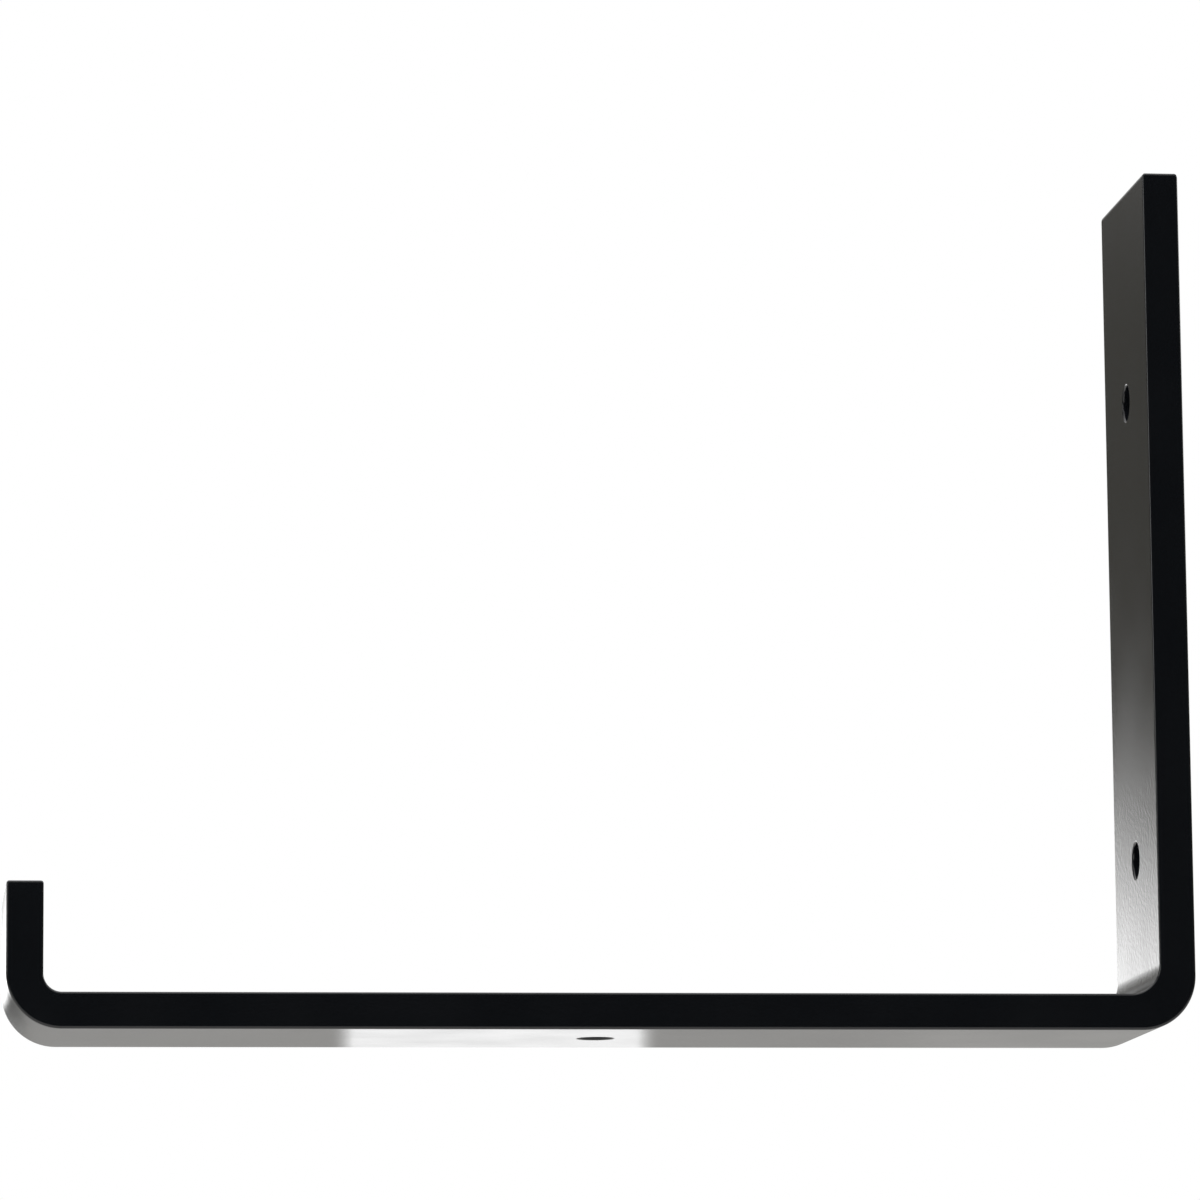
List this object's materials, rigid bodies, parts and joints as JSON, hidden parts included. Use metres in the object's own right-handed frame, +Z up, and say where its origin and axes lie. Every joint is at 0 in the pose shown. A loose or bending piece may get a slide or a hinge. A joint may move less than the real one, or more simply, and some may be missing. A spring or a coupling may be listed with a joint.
{
  "type": "hanging shelf bracket",
  "caption": "J-shaped shelf bracket bent from black coated flat bar, with a wall upright, a leg under the shelf board and a short front lip.",
  "frame": {"origin": "on the wall plane, halfway between the two wall holes", "axes": "+X out of the back of the upright into the wall, +Z up along the upright, Y across the bar's width"},
  "size_m": [0.2064, 0.0382, 0.1524],
  "materials": {
    "powder_coat": "black semi-gloss powder coat with a fine texture, on steel"
  },
  "bodies": {
    "root": {"bracket": "powder_coat"}
  },
  "joints": []
}
